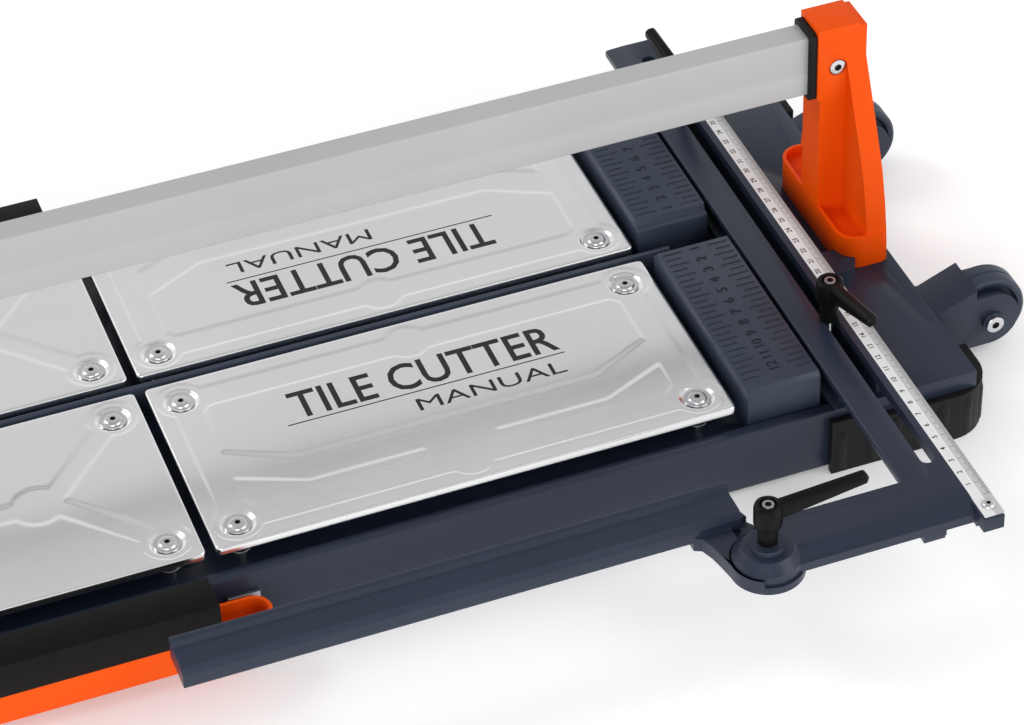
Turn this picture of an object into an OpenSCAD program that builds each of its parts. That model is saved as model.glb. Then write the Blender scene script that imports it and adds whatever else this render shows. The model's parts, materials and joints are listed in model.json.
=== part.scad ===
// Manual tile cutter for large tiles: base with a sprung table, a rail on two posts, a scoring
// carriage, a sliding measuring fence with a mitre arm, swing-out side supports and transport wheels.
// X runs along the rail, Y across the table, Z up. The origin is under the middle foot, on the floor.

/* [Table] */
// Length of one table plate
plate_l = 292; // [240:1:320]
// Width of one table plate
plate_w = 137.4; // [120:0.1:138]
// Number of plates in each row
plates_per_row = 4; // [4:1:4]
// Gap between neighbouring plates of a row
plate_gap = 5.5; // [4:0.5:8]
// Gap over the breaking rib, between the two rows
row_gap = 11.4; // [10:0.2:14]
// Height of the table surface above the floor
table_z = 54; // [52:0.5:56]
// Depth of the folded rim of a plate
plate_rim = 4.5; // [4:0.1:6]
// Travel of the sprung plates
plate_travel = 3; // [1:0.5:3]

/* [Base] */
// Overall length of the base without wheels
base_l = 1460; // [1460:10:1500]
// Overall width of the base
base_w = 307; // [305:1:310]
// Height of the top of the side beams
beam_z = 42; // [41:0.5:43]
// Length of an end plate
end_l = 85; // [84:1:86]
// Depth of the folded edge of an end plate
end_skirt = 11; // [8:1:12]
// Height of the deck under the plates
deck_z = 34; // [32:0.5:35]

/* [Rail] */
// Width of the rail
rail_w = 16; // [14:0.5:18]
// Height of the rail
rail_h = 38; // [34:1:40]
// Height of the underside of the rail
rail_z = 141; // [138:1:146]
// Height of the top of a post
post_z = 184.5; // [184:0.5:190]
// Half width of a post head
head_half = 12; // [11.5:0.5:14]
// Half width of a post foot
foot_half = 47; // [44:1:50]

/* [Fence] */
// Height of the measuring face of the fence bar
fence_z = 64; // [62:0.5:65]
// Near end of the fence bar
fence_y0 = -283; // [-290:1:-280]
// Far end of the fence bar
fence_y1 = 177; // [170:1:185]
// Distance of each fence clamp from the centre line
clamp_y = 105; // [100:1:108]
// Width of the slot in the fence bar
slot_w = 8; // [8:0.5:8.5]
// Length of the swing arm
arm_l = 303; // [260:1:310]

/* [Supports and wheels] */
// Reach of one side support, from its pivot to its free end
support_l = 300; // [260:1:300]
// Radius of a transport wheel
wheel_r = 23.5; // [20:0.5:24]
// Width of a transport wheel
wheel_w = 17; // [14:0.5:18]

/* [Carriage] */
// Position of the carriage along the rail
carriage_x = -420; // [-560:10:0]
// Radius of the scoring wheel
cutter_r = 11; // [8:0.5:12]
// Length of the handle tube
handle_l = 270; // [200:5:300]
// Angle of the handle above the horizontal
handle_a = 35; // [30:1:40]

/* [Hidden] */
$fn = 48;
fit = 0.05;                     // radial clearance of a running fit
navy = [0.2, 0.22, 0.28];
orange = [0.93, 0.36, 0.1];
steel = [0.78, 0.79, 0.8];
black = [0.09, 0.09, 0.1];
half_w = base_w / 2;
half_l = base_l / 2;
tray_half = half_l - end_l;
row_l = plates_per_row * plate_l + (plates_per_row - 1) * plate_gap;
plate_y0 = row_gap / 2;
wall = 2.5;                     // sheet thickness of the tray
lip_w = 7.5;                    // width of the rolled edge on the side beams
screw_inset = 16.4;
dimple_r = 9.5;
dimple_d = 2;
screw_r = 3;
head_r = 5.3;
foot_t = 3;                     // how far the feet reach below the tray
foot_r = 24;
foot_l = 99;
foot_over = 11;                 // how far a corner foot stands out past the end plate
post_x0 = 698;
post_x1 = 725;
head_x0 = 696;
flange_x0 = 713;
flange_x1 = 725;
pedestal_z = beam_z + 21;
head_z0 = 138;
rail_end = 708;
gasket_t = 4.5;
block_x0 = 597.5;
block_x1 = 640;
block_y0 = 11.5;
block_y1 = 145.5;
bar_x0 = 643;
bar_x1 = 671;
ruler_x1 = 682;
slot_x = 663;
slot_y0 = -233;
slot_y1 = 161;
ledge_y1 = 132;
pivot = [559, -260];
hub_r = 18.5;
arm_y0 = -234;
arm_y1 = -210;
arm_z0 = 55;
arm_z1 = 70;
lever_r = 7.6;
support_pivot = [309, -172];
support_w = 21;
support_z0 = 14;
wheel_c = [766, -86, 25.7];
bracket_y = 14;
px = carriage_x;
pz = 112;                       // height of the handle pivot
bridge_r = 138;                 // distance of the handle socket from the pivot
roller_r = 9;
roller_x = 26;
cheek_y0 = 9.5;
cheek_y1 = 22;
axle_r = 3;

module prism_x(x0, x1) translate([x0, 0, 0]) rotate([90, 0, 90]) linear_extrude(x1 - x0) children();
module prism_y(y0, y1) translate([0, y1, 0]) rotate([90, 0, 0]) linear_extrude(y1 - y0) children();
module both_sides() { children(); mirror([0, 1, 0]) children(); }
module both_ends() { children(); mirror([1, 0, 0]) children(); }
module box(lo, hi) translate(lo) cube(hi - lo);
module rod_y(x, z, r, y0, y1) translate([x, y0, z]) rotate([-90, 0, 0]) cylinder(r = r, h = y1 - y0);
module rounded(x, y, r) {
    translate([r, 0]) square([x - 2 * r, y]);
    translate([0, r]) square([x, y - 2 * r]);
    for (a = [r, x - r], b = [r, y - r]) translate([a, b]) circle(r);
}
function plate_x(i) = row_l / 2 - plate_l - i * (plate_l + plate_gap);
function screw_points() = [for (i = [0:plates_per_row - 1], dx = [screw_inset, plate_l - screw_inset],
    dy = [screw_inset, plate_w - screw_inset], s = [-1, 1])
    [plate_x(i) + dx, s * (plate_y0 + dy)]];

// ---- base ----
module tray_section() {
    half = [[half_w - lip_w - wall, deck_z - wall], [half_w - lip_w - wall, foot_t], [half_w - 0.5, foot_t],
        [half_w, foot_t + 1.5], [half_w, beam_z - 1.6], [half_w - 0.5, beam_z - 0.5], [half_w - 1.6, beam_z],
        [half_w - lip_w + 1, beam_z], [half_w - lip_w, beam_z - 1], [half_w - lip_w, deck_z]];
    polygon(concat(half, [for (i = [len(half) - 1:-1:0]) [-half[i][0], half[i][1]]]));
}
module base_tray() color(navy) difference() {
    prism_x(-tray_half + 0.2, tray_half - 0.2) tray_section();
    prism_x(-tray_half - 1, tray_half + 1) both_halves()
        translate([half_w - lip_w, foot_t - 1]) square([lip_w - wall, deck_z - wall - foot_t + 1]);
    for (p = screw_points()) translate([p[0], p[1], deck_z - 5]) cylinder(r = screw_r, h = 6);
}
module both_halves() { children(); mirror([1, 0]) children(); }

module spine_beam() color(navy) difference() {
    box([-tray_half + 0.2, -13, foot_t], [tray_half - 0.2, 13, deck_z - wall]);
    box([-tray_half - 1, -10.5, foot_t - 1], [tray_half + 1, 10.5, deck_z - wall - 3]);
}

module breaking_rib() color(navy) prism_x(-tray_half + 30, block_x0 + 14)
    polygon([[-4, deck_z], [4, deck_z], [2.2, table_z - 5], [1.4, table_z - 1.6],
        [0.6, table_z - 1], [-0.6, table_z - 1], [-1.4, table_z - 1.6], [-2.2, table_z - 5]]);

module end_plate() difference() {
    union() {
        difference() {
            box([tray_half, -half_w, beam_z - end_skirt], [half_l, half_w, beam_z]);
            box([tray_half + 3, -half_w + 3, beam_z - end_skirt - 1], [half_l - 3, half_w - 3, beam_z - 4]);
        }
        difference() {
            box([tray_half + 3, -132, foot_t], [half_l - 6, 132, beam_z - 3]);
            box([tray_half + 6, -129, foot_t - 1], [half_l - 9, 129, beam_z - 4]);
        }
    }
    for (y = [-36, 36]) translate([post_x0 + 14, y, beam_z - 5]) cylinder(r = 3, h = 6);
}
module end_plate_right() color(navy) difference() {
    union() {
        end_plate();
        translate([0, 0, beam_z - 1]) linear_extrude(9) difference() {
            union() {
                translate([bar_x1 + 19, -55.5]) square([5.5, 20]);
                translate([bar_x1 + 24.5, -45.5]) circle(10);
            }
            offset(0.2) pedestal_2d();
        }
        box([bar_x1 + 24, -47.8, beam_z + 7], [bar_x1 + 31, -46.2, beam_z + 8.6]);
    }
    for (s = [-1, 1]) translate([slot_x, s * clamp_y, beam_z - 5]) cylinder(r = 4, h = 6);
}
module end_plate_left() color(navy) mirror([1, 0, 0]) end_plate();

module corner_foot() difference() {
    union() {
        linear_extrude(beam_z - 5) translate([tray_half - 3, -half_w - 4.5]) {
            square([foot_l - foot_r, 40]);
            translate([0, foot_r]) square([foot_l, 40 - foot_r]);
            translate([foot_l - foot_r, foot_r]) circle(foot_r);
        }
    }
    box([tray_half - 40, -half_w - 0.1, -1], [tray_half + 0.1, -100, beam_z + 1]);
    box([tray_half - 0.1, -half_w - 0.1, beam_z - end_skirt - 0.05], [half_l + 0.1, -90, beam_z + 1]);
    box([tray_half + 22, -half_w - 5, beam_z - end_skirt - 0.05], [half_l + 12, -90, beam_z + 1]);
    box([tray_half - 1, -132.1, -1], [half_l - 5.9, -90, beam_z + 1]);
}
module rubber_feet() color(black) {
    both_ends() both_sides() corner_foot();
    difference() {
        translate([0, 0, 0]) cylinder(r = 20, h = foot_t + 6);
        difference() {
            box([-21, -13.05, foot_t], [21, 13.05, foot_t + 7]);
            box([-22, -10.4, foot_t - 1], [22, 10.4, foot_t + 8]);
        }
    }
}

module scale_block() difference() {
    prism_x(block_x0, block_x1) polygon([[-block_y1, deck_z], [-block_y1, fence_z - 2.5],
        [-block_y1 + 2.5, fence_z], [-block_y0 - 5, fence_z], [-block_y0 - 4, fence_z - 4],
        [-block_y0 - 0.6, fence_z - 4.6], [-block_y0, fence_z - 6], [-block_y0, deck_z]]);
    for (y = [-122, -36]) translate([(block_x0 + block_x1) / 2, y, deck_z - 1]) cylinder(r = 2.5, h = 12);
}
module scale_block_near() color(navy) scale_block();
module scale_block_far() color(navy) mirror([0, 1, 0]) scale_block();

module plate_screws() color(steel) for (p = screw_points()) translate([p[0], p[1], 0]) {
    difference() {
        translate([0, 0, table_z - dimple_d + 0.03]) cylinder(r = head_r, h = 1.95);
        translate([0, 0, table_z - dimple_d + 0.8]) cylinder(r = 2.3, h = 4, $fn = 6);
    }
    translate([0, 0, deck_z - wall]) cylinder(r = screw_r - 0.02, h = table_z - dimple_d - deck_z + wall + 0.1);
}
module table_springs() color(steel) for (p = screw_points()) translate([p[0], p[1], deck_z + 0.02])
    difference() {
        cylinder(r = 6.2, h = table_z - dimple_d - 1.55 - deck_z);
        translate([0, 0, -1]) cylinder(r = 5, h = 30);
    }

module support_brackets() color(steel) both_ends() both_sides() difference() {
    union() {
        translate([support_pivot[0], support_pivot[1], support_z0 - 5]) cylinder(r = 9, h = 4.9);
        box([support_pivot[0] - 9, support_pivot[1], support_z0 - 5],
            [support_pivot[0] + 9, -half_w - 3, support_z0 - 0.1]);
        box([support_pivot[0] - 9, -half_w - 3, support_z0 - 9], [support_pivot[0] + 9, -half_w, 30]);
    }
    translate([support_pivot[0], support_pivot[1], support_z0 - 6]) cylinder(r = 4, h = 8);
}
module support_bolts() color(steel) both_ends() both_sides() translate([support_pivot[0], support_pivot[1], 0]) {
    translate([0, 0, support_z0 - 5]) cylinder(r = 3.98, h = 14);
    difference() {
        translate([0, 0, support_z0 + 3.1]) cylinder(r = 6.5, h = 6);
        translate([0, 0, support_z0 + 6.1]) cylinder(r = 3, h = 4, $fn = 6);
    }
}

// ---- posts and rail ----
module pedestal_2d(edge = 0) hull() {
    for (s = [-1, 1]) {
        translate([post_x0 + 12, s * (foot_half - 12)]) circle(12 - edge);
        translate([post_x1 - 3, s * (foot_half - 3)]) circle(3 - min(edge, 2));
    }
}
module post() difference() {
    union() {
        translate([0, 0, beam_z]) linear_extrude(pedestal_z - beam_z) pedestal_2d();
        box([post_x0, -head_half + 1, beam_z + 1], [post_x1 - 6, head_half - 1, head_z0 + 1]);
        box([head_x0, -head_half, head_z0], [post_x1 - 4, head_half, post_z]);
        prism_x(flange_x0, flange_x1) both_halves() polygon([[0, beam_z + 1], [foot_half, beam_z + 1],
            [foot_half - 0.3, beam_z + 13], [foot_half - 1.5, beam_z + 23], [foot_half - 4, beam_z + 38],
            [foot_half - 9, beam_z + 58], [foot_half - 17, beam_z + 78], [foot_half - 26, beam_z + 99],
            [head_half, beam_z + 120], [head_half, post_z - 2], [0, post_z - 2]]);
    }
    difference() {
        translate([0, 0, pedestal_z - 5]) linear_extrude(10) pedestal_2d(2);
        box([flange_x0 - 0.01, -foot_half, beam_z], [post_x1 + 1, foot_half, post_z]);
        box([post_x0 - 1, -head_half + 1, beam_z], [post_x1, head_half - 1, post_z]);
    }
    box([head_x0 - 1, -rail_w / 2 - 0.1, rail_z - 0.1], [rail_end + 0.3, rail_w / 2 + 0.1, rail_z + rail_h + 0.1]);
    rod_y(708, rail_z + 17, 3.2, -head_half - 1, 0);
    rod_y(708, rail_z + 17, 5.3, -head_half - 1, -head_half + 2.5);
    for (y = [-36, 36]) translate([post_x0 + 14, y, beam_z - 1]) cylinder(r = 3, h = 14);
}
module post_right() color(orange) post();
module post_left() color(orange) mirror([1, 0, 0]) post();
module post_bolts() color(steel) both_ends() for (y = [-36, 36]) translate([post_x0 + 14, y, 0]) {
    translate([0, 0, beam_z - 5]) cylinder(r = 2.98, h = 16);
    difference() {
        translate([0, 0, beam_z - 9]) cylinder(r = 5, h = 4.98);
        translate([0, 0, beam_z - 10]) cylinder(r = 2.4, h = 4, $fn = 6);
    }
}
module rail_section(w, h, r) translate([-w / 2, 0]) rounded(w, h, r);
module rail() color([0.78, 0.78, 0.78]) difference() {
    prism_x(-rail_end, rail_end) translate([0, rail_z]) rail_section(rail_w, rail_h, 1.2);
    prism_x(-rail_end - 1, rail_end + 1) translate([0, rail_z + 2.2]) rail_section(rail_w - 4.4, rail_h - 4.4, 2);
    both_ends() rod_y(708, rail_z + 17, 3.2, -rail_w, 0);
}
module rail_gaskets() color(black) both_ends() prism_x(head_x0 - gasket_t, head_x0) difference() {
    translate([0, rail_z - 3]) rail_section(rail_w + 6, rail_h + 6, 3);
    translate([0, rail_z - 0.02]) rail_section(rail_w + 0.04, rail_h + 0.04, 1.2);
}
module rail_screws() color(steel) both_ends() difference() {
    union() {
        rod_y(708, rail_z + 17, 5, -head_half - 0.6, -head_half + 2.4);
        rod_y(708, rail_z + 17, 2.9, -head_half + 2, -rail_w / 2 + 3);
    }
    translate([708, -head_half - 1, rail_z + 17]) rotate([-90, 0, 0]) cylinder(r = 2.6, h = 2.4, $fn = 6);
}

// ---- transport wheels ----
module wheel_bracket() difference() {
    union() {
        prism_y(wheel_c[1] - bracket_y, wheel_c[1] + bracket_y) polygon([[half_l, 8], [half_l, 40],
            [half_l + 3, 40], [half_l + 26, 49.5], [half_l + 26, 20], [half_l + 12, 8]]);
        for (y = [wheel_c[1] - bracket_y, wheel_c[1] + wheel_w / 2 + 0.5])
            rod_y(wheel_c[0], wheel_c[2], 17, y, y + bracket_y - wheel_w / 2 - 0.5);
        for (s = [-1, 1]) prism_y(wheel_c[1] + s * 11.25 - 2.75, wheel_c[1] + s * 11.25 + 2.75)
            polygon([[half_l + 10, 8.7], [wheel_c[0], 8.7], [wheel_c[0], 42.7], [half_l + 10, 42.7]]);
        rod_y(wheel_c[0], wheel_c[2], 6.5, wheel_c[1] - bracket_y - 3, wheel_c[1] - bracket_y + 0.5);
    }
    rod_y(wheel_c[0], wheel_c[2], wheel_r + 1.5, wheel_c[1] - wheel_w / 2 - 0.5, wheel_c[1] + wheel_w / 2 + 0.5);
    rod_y(wheel_c[0], wheel_c[2], 4, wheel_c[1] - 25, wheel_c[1] + 25);
}
module wheel_bracket_near() color(navy) wheel_bracket();
module wheel_bracket_far() color(navy) mirror([0, 1, 0]) wheel_bracket();
module wheel() difference() {
    rod_y(wheel_c[0], wheel_c[2], wheel_r, wheel_c[1] - wheel_w / 2, wheel_c[1] + wheel_w / 2);
    for (s = [-1, 1]) translate([wheel_c[0], wheel_c[1] + s * (wheel_w / 2 + 0.5), wheel_c[2]])
        rotate([90, 0, 0]) difference() {
            cylinder(r = wheel_r - 4, h = 5, center = true);
            cylinder(r = 8, h = 6, center = true);
        }
    rod_y(wheel_c[0], wheel_c[2], 4 + fit, wheel_c[1] - 20, wheel_c[1] + 20);
}
module wheel_near() color([0.3, 0.31, 0.37]) wheel();
module wheel_far() color([0.3, 0.31, 0.37]) mirror([0, 1, 0]) wheel();
module wheel_bolts() color(steel) both_sides() difference() {
    union() {
        rod_y(wheel_c[0], wheel_c[2], 3.98, wheel_c[1] - bracket_y - 3, wheel_c[1] + bracket_y);
        rod_y(wheel_c[0], wheel_c[2], 5.2, wheel_c[1] - bracket_y - 5.5, wheel_c[1] - bracket_y - 3);
    }
    translate([wheel_c[0], wheel_c[1] - bracket_y - 6, wheel_c[2]]) rotate([-90, 0, 0]) cylinder(r = 2.5, h = 2.5, $fn = 6);
}

// ---- table plates ----
module table_plate(i) translate([plate_x(i), -plate_y0 - plate_w, 0]) difference() {
    translate([0, 0, table_z - plate_rim]) linear_extrude(plate_rim) rounded(plate_l, plate_w, 3);
    difference() {
        translate([1.5, 1.5, table_z - plate_rim - 1]) linear_extrude(plate_rim - 0.5) rounded(plate_l - 3, plate_w - 3, 2);
        at_screws() translate([0, 0, table_z - dimple_d - 1.5]) cylinder(r = dimple_r + 1, h = 4);
    }
    at_screws() {
        translate([0, 0, table_z - dimple_d]) cylinder(r = dimple_r, h = 4);
        translate([0, 0, table_z - 10]) cylinder(r = screw_r + 0.4, h = 12);
    }
}
module at_screws() for (dx = [screw_inset, plate_l - screw_inset], dy = [screw_inset, plate_w - screw_inset])
    translate([dx, dy, 0]) children();
module near_plate(i) color(steel) table_plate(i);
module far_plate(i) color(steel) mirror([0, 1, 0]) table_plate(i);

// ---- side supports ----
module support_channel() translate([support_pivot[0], support_pivot[1], 0]) difference() {
    union() {
        translate([0, 0, support_z0]) linear_extrude(20) circle(support_w / 2);
        box([-support_l, -support_w / 2, support_z0], [0, support_w / 2, support_z0 + 20]);
    }
    translate([0, 0, support_z0 + 3]) linear_extrude(20) circle(support_w / 2 - 2);
    box([-support_l + 2, -support_w / 2 + 2, support_z0 + 3], [0, support_w / 2 - 2, support_z0 + 21]);
    translate([0, 0, support_z0 - 1]) cylinder(r = 4 + fit, h = 6);
}
module support_pad() translate([support_pivot[0], support_pivot[1], 0]) union() {
    difference() {
        box([-support_l + 0.2, -support_w / 2 - 0.6, support_z0 + 18.5], [-19, support_w / 2 + 0.6, table_z]);
        box([-support_l, -support_w / 2 - 0.04, support_z0 + 17], [-18, support_w / 2 + 0.04, support_z0 + 20.05]);
    }
    box([-support_l + 2.1, -support_w / 2 + 2.1, support_z0 + 10], [-21, support_w / 2 - 2.1, support_z0 + 21]);
}
module place_support(x, y) mirror([x, 0, 0]) mirror([0, y, 0]) children();
module support_channel_near_right() color(orange) support_channel();
module support_channel_near_left() color(orange) place_support(1, 0) support_channel();
module support_channel_far_right() color(orange) place_support(0, 1) support_channel();
module support_channel_far_left() color(orange) place_support(1, 0) place_support(0, 1) support_channel();
module support_pad_near_right() color(black) support_pad();
module support_pad_near_left() color(black) place_support(1, 0) support_pad();
module support_pad_far_right() color(black) place_support(0, 1) support_pad();
module support_pad_far_left() color(black) place_support(1, 0) place_support(0, 1) support_pad();

// ---- fence ----
module slot_2d() {
    translate([slot_x - slot_w / 2, slot_y0 + slot_w / 2]) square([slot_w, slot_y1 - slot_y0 - slot_w]);
    for (y = [slot_y0 + slot_w / 2, slot_y1 - slot_w / 2]) translate([slot_x, y]) circle(slot_w / 2);
}
module fence_bar() color(navy) difference() {
    union() {
        prism_y(fence_y0 + 30, fence_y1) polygon([[bar_x0, fence_z - 4.6], [bar_x0, fence_z - 1.4],
            [bar_x0 + 1, fence_z - 0.6], [bar_x0 + 11, fence_z], [bar_x1, fence_z], [bar_x1, fence_z - 6],
            [bar_x0 + 6, fence_z - 6]]);
        box([bar_x0 + 6, -150, beam_z + 0.3], [bar_x0 + 11, fence_y1 - 3, fence_z - 5]);
        box([bar_x1, -150, beam_z + 0.3], [bar_x1 + 5, ledge_y1, fence_z - 5]);
        box([bar_x0 + 6, fence_y0 + 10, fence_z - 14], [bar_x0 + 11, -149, fence_z - 5]);
        box([bar_x1, fence_y0 + 10, fence_z - 14], [bar_x1 + 5, -149, fence_z - 5]);
        box([bar_x0 - 2, fence_y0 + 9.5, fence_z - 15], [bar_x0 + 10, fence_y0 + 21, fence_z - 9]);
        box([bar_x1 - 1, fence_y0, fence_z - 9.5], [ruler_x1 - 0.5, ledge_y1, fence_z - 1]);
        prism_x(pivot[0] + 8, ruler_x1 - 0.5) polygon([[fence_y0 + 9, fence_z - 9.5],
            [fence_y0 + 9, fence_z - 4], [fence_y0 + 19, fence_z - 0.01],
            [fence_y0 + 42, fence_z - 0.01], [fence_y0 + 42, fence_z - 9.5]]);
        translate([0, 0, fence_z - 9.5]) linear_extrude(9.49) polygon([[pivot[0] + 22, fence_y0 + 42],
            [pivot[0] + 22, pivot[1]], pivot, [pivot[0], pivot[1] + hub_r - 0.8]]);
        translate([pivot[0], pivot[1], fence_z - 9.5]) cylinder(r = hub_r, h = 5.5);
        translate([pivot[0], pivot[1], fence_z - 4.01]) cylinder(r1 = hub_r, r2 = hub_r - 5, h = 5.6);
        translate([pivot[0], pivot[1], fence_z - 9.5]) cylinder(r = 9.5, h = 14.5);
    }
    translate([0, 0, beam_z - 1]) linear_extrude(fence_z) slot_2d();
    box([bar_x1, fence_y0 - 1, fence_z - 1.02], [ruler_x1, ledge_y1 + 1, fence_z + 1]);
    translate([pivot[0], pivot[1], beam_z]) cylinder(r = 4, h = 30);
    for (y = [fence_y0 + 9, ledge_y1 - 6]) translate([676.5, y, fence_z - 8]) cylinder(r = 2, h = 10);
}
module ruler_strip() color([0.92, 0.92, 0.92]) difference() {
    box([bar_x1 + 0.05, fence_y0 + 1.5, fence_z - 1], [ruler_x1, ledge_y1, fence_z]);
    for (y = [fence_y0 + 9, ledge_y1 - 6]) translate([676.5, y, fence_z - 2]) cylinder(r = 2, h = 4);
}
module ruler_screws() color(steel) for (y = [fence_y0 + 9, ledge_y1 - 6]) translate([676.5, y, 0]) {
    translate([0, 0, fence_z - 7.9]) cylinder(r = 1.98, h = 8);
    difference() {
        translate([0, 0, fence_z + 0.01]) cylinder(r = 3.6, h = 1.8);
        translate([0, 0, fence_z + 0.9]) cylinder(r = 1.5, h = 2, $fn = 6);
    }
}
module fence_studs() color(steel) for (s = [-1, 1]) translate([slot_x, s * clamp_y, 0]) {
    translate([0, 0, beam_z - 5]) cylinder(r = 3.98, h = 5);
    translate([0, 0, beam_z - 1]) cylinder(r = 3, h = fence_z - beam_z + 21);
}
module lever(h, reach, drop) difference() {
    union() {
        cylinder(r = 5.2, h = h - 14);
        translate([0, 0, h - 15.5]) cylinder(r = lever_r, h = 15.5);
        prism_y(-3.7, 3.7) polygon([[4, h - 10.5], [reach, h - 3], [reach + 2, h], [reach, h + 4.5], [4, h - 0.5]]);
    }
    translate([0, 0, -1]) cylinder(r = 3 + fit, h = drop + 1);
    translate([0, 0, h - 3]) cylinder(r = 3.6, h = 4);
}
module clamp_lever_near() color(black) translate([slot_x, -clamp_y, fence_z + 0.1]) rotate(-82) lever(27, 44, 21);
module clamp_lever_far() color(black) translate([slot_x, clamp_y, fence_z + 0.1]) rotate(94) lever(27, 44, 21);
module arm_clamp_lever() color(black) translate([pivot[0], pivot[1], fence_z + 5.1]) rotate(-2) lever(25.5, 56, 20.5);
module arm_pivot_bolt() color(steel) translate([pivot[0], pivot[1], 0]) {
    translate([0, 0, fence_z - 19.5]) cylinder(r = 8, h = 5);
    translate([0, 0, fence_z - 15]) cylinder(r = 3.98, h = 17);
    translate([0, 0, fence_z + 1]) cylinder(r = 3, h = 24);
}
module neck_2d() {
    translate(pivot) circle(hub_r + 1.5);
    polygon([[pivot[0] - 30, arm_y0], [pivot[0] - 26, pivot[1] + 24], [pivot[0] - 23.3, pivot[1] + 17],
        [pivot[0] - 21.6, pivot[1] + 9], [pivot[0] - 20, pivot[1]], pivot,
        [pivot[0] + 8, pivot[1] + 23], [pivot[0] + 1.5, pivot[1] + 32], [pivot[0] - 1.7, pivot[1] + 42],
        [pivot[0] - 3, arm_y1 - 0.5], [pivot[0] - 30, arm_y1 - 6]]);
}
module swing_arm() color(navy) difference() {
    union() {
        translate([0, 0, fence_z - 14.3]) linear_extrude(4.7) neck_2d();
        translate([0, 0, fence_z - 14.3]) linear_extrude(8.8) difference() {
            neck_2d();
            intersection() {
                translate([pivot[0] - 9, pivot[1] - 40]) square([60, 100]);
                translate(pivot) circle(31.5);
            }
        }
        prism_x(pivot[0] - arm_l, pivot[0] - 3) polygon([[arm_y0, arm_z0], [arm_y0, arm_z0 + 8],
            [arm_y0 + 3, arm_z0 + 11.5], [arm_y1 - 6.5, arm_z1 - 3.5], [arm_y1 - 5, arm_z1 - 0.6],
            [arm_y1 - 3.5, arm_z1], [arm_y1 - 1, arm_z1 - 0.4], [arm_y1, arm_z1 - 2], [arm_y1, arm_z0]]);
    }
    translate([pivot[0], pivot[1], fence_z - 16]) cylinder(r = 4 + fit, h = 20);
    translate([pivot[0], pivot[1], fence_z - 9.6]) cylinder(r = hub_r + 1, h = 20);
}

// ---- carriage ----
module carriage_body() color(navy) difference() {
    union() {
        box([px - 40, -cheek_y1, 118], [px + 40, cheek_y1, 205]);
        both_sides() rod_y(px, pz, 9, cheek_y0, cheek_y1);
        both_sides() box([px - 9, cheek_y0, pz], [px + 9, cheek_y1, 119]);
    }
    box([px - 41, -cheek_y0, 100], [px + 41, cheek_y0, 199]);
    both_sides() box([px - 30, cheek_y1 - 4, 144], [px + 30, cheek_y1 + 1, 176]);
    rod_y(px, pz, 5, -30, 30);
    for (x = [-roller_x, roller_x]) rod_y(px + x, rail_z - roller_r - 0.05, axle_r, -30, 30);
    rod_y(px, rail_z + rail_h + roller_r + 0.05, axle_r, -30, 30);
}
module roller_axles() color(steel) {
    for (x = [-roller_x, roller_x]) rod_y(px + x, rail_z - roller_r - 0.05, axle_r - 0.02, -cheek_y1, cheek_y1);
    rod_y(px, rail_z + rail_h + roller_r + 0.05, axle_r - 0.02, -cheek_y1, cheek_y1);
}
module roller(x, z) color(steel) difference() {
    rod_y(px + x, z, roller_r, -6, 6);
    rod_y(px + x, z, axle_r + fit, -7, 7);
}
module guide_roller_rear() roller(-roller_x, rail_z - roller_r - 0.05);
module guide_roller_front() roller(roller_x, rail_z - roller_r - 0.05);
module guide_roller_top() roller(0, rail_z + rail_h + roller_r + 0.05);
module handle_pin() color(steel) rod_y(px, pz, 4.98, -31, 31);
module handle_yoke() color(orange) translate([px, 0, pz]) difference() {
    union() {
        both_sides() prism_y(23, 29) {
            circle(12);
            rotate(180 - handle_a) translate([0, -11]) square([bridge_r + 18, 22]);
            polygon([[-34, -33], [-14, -33], [-6, -6], [-34, 10]]);
        }
        rotate([0, handle_a - 180, 0]) box([bridge_r, -28, -10], [bridge_r + 24, 28, 10]);
        box([-32, -25, -31], [-18, 25, -20]);
        for (s = [-1, 1]) box([-27, s * 5.5 - 2, -50], [-13, s * 5.5 + 2, -28]);
        box([-52, -4, -38], [-34, 4, -24]);
        box([-35, -4, -31], [-28, 4, -24]);
        rod_y(-46, -32, 6, -4, 4);
    }
    rod_y(0, 0, 5 + fit, -40, 40);
    rod_y(-20, -44, 2.5, -10, 10);
    rod_y(-46, -32, 2.5, -10, 10);
    rotate([0, handle_a - 90, 0]) translate([0, 0, bridge_r + 4]) cylinder(r = 9, h = 40);
}
module handle_tube() color(steel) translate([px, 0, pz]) rotate([0, handle_a - 90, 0]) translate([0, 0, bridge_r + 4]) difference() {
    cylinder(r = 8.98, h = handle_l);
    translate([0, 0, 2]) cylinder(r = 7, h = handle_l);
}
module handle_grip() color(black) translate([px, 0, pz]) rotate([0, handle_a - 90, 0]) translate([0, 0, bridge_r + handle_l - 118]) difference() {
    union() {
        cylinder(r = 14, h = 130);
        cylinder(r = 17, h = 6);
    }
    translate([0, 0, -1]) cylinder(r = 9, h = 123.5);
}
module scoring_wheel() color(steel) translate([px - 20, 0, pz - 44]) rotate([90, 0, 0]) difference() {
    rotate_extrude() polygon([[0, -1.5], [cutter_r - 3, -1.5], [cutter_r, 0], [cutter_r - 3, 1.5], [0, 1.5]]);
    cylinder(r = 2.5 + fit, h = 10, center = true);
}
module head_pins() color(steel) {
    rod_y(px - 20, pz - 44, 2.48, -9, 9);
    rod_y(px - 46, pz - 32, 2.48, -9, 9);
}
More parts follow.
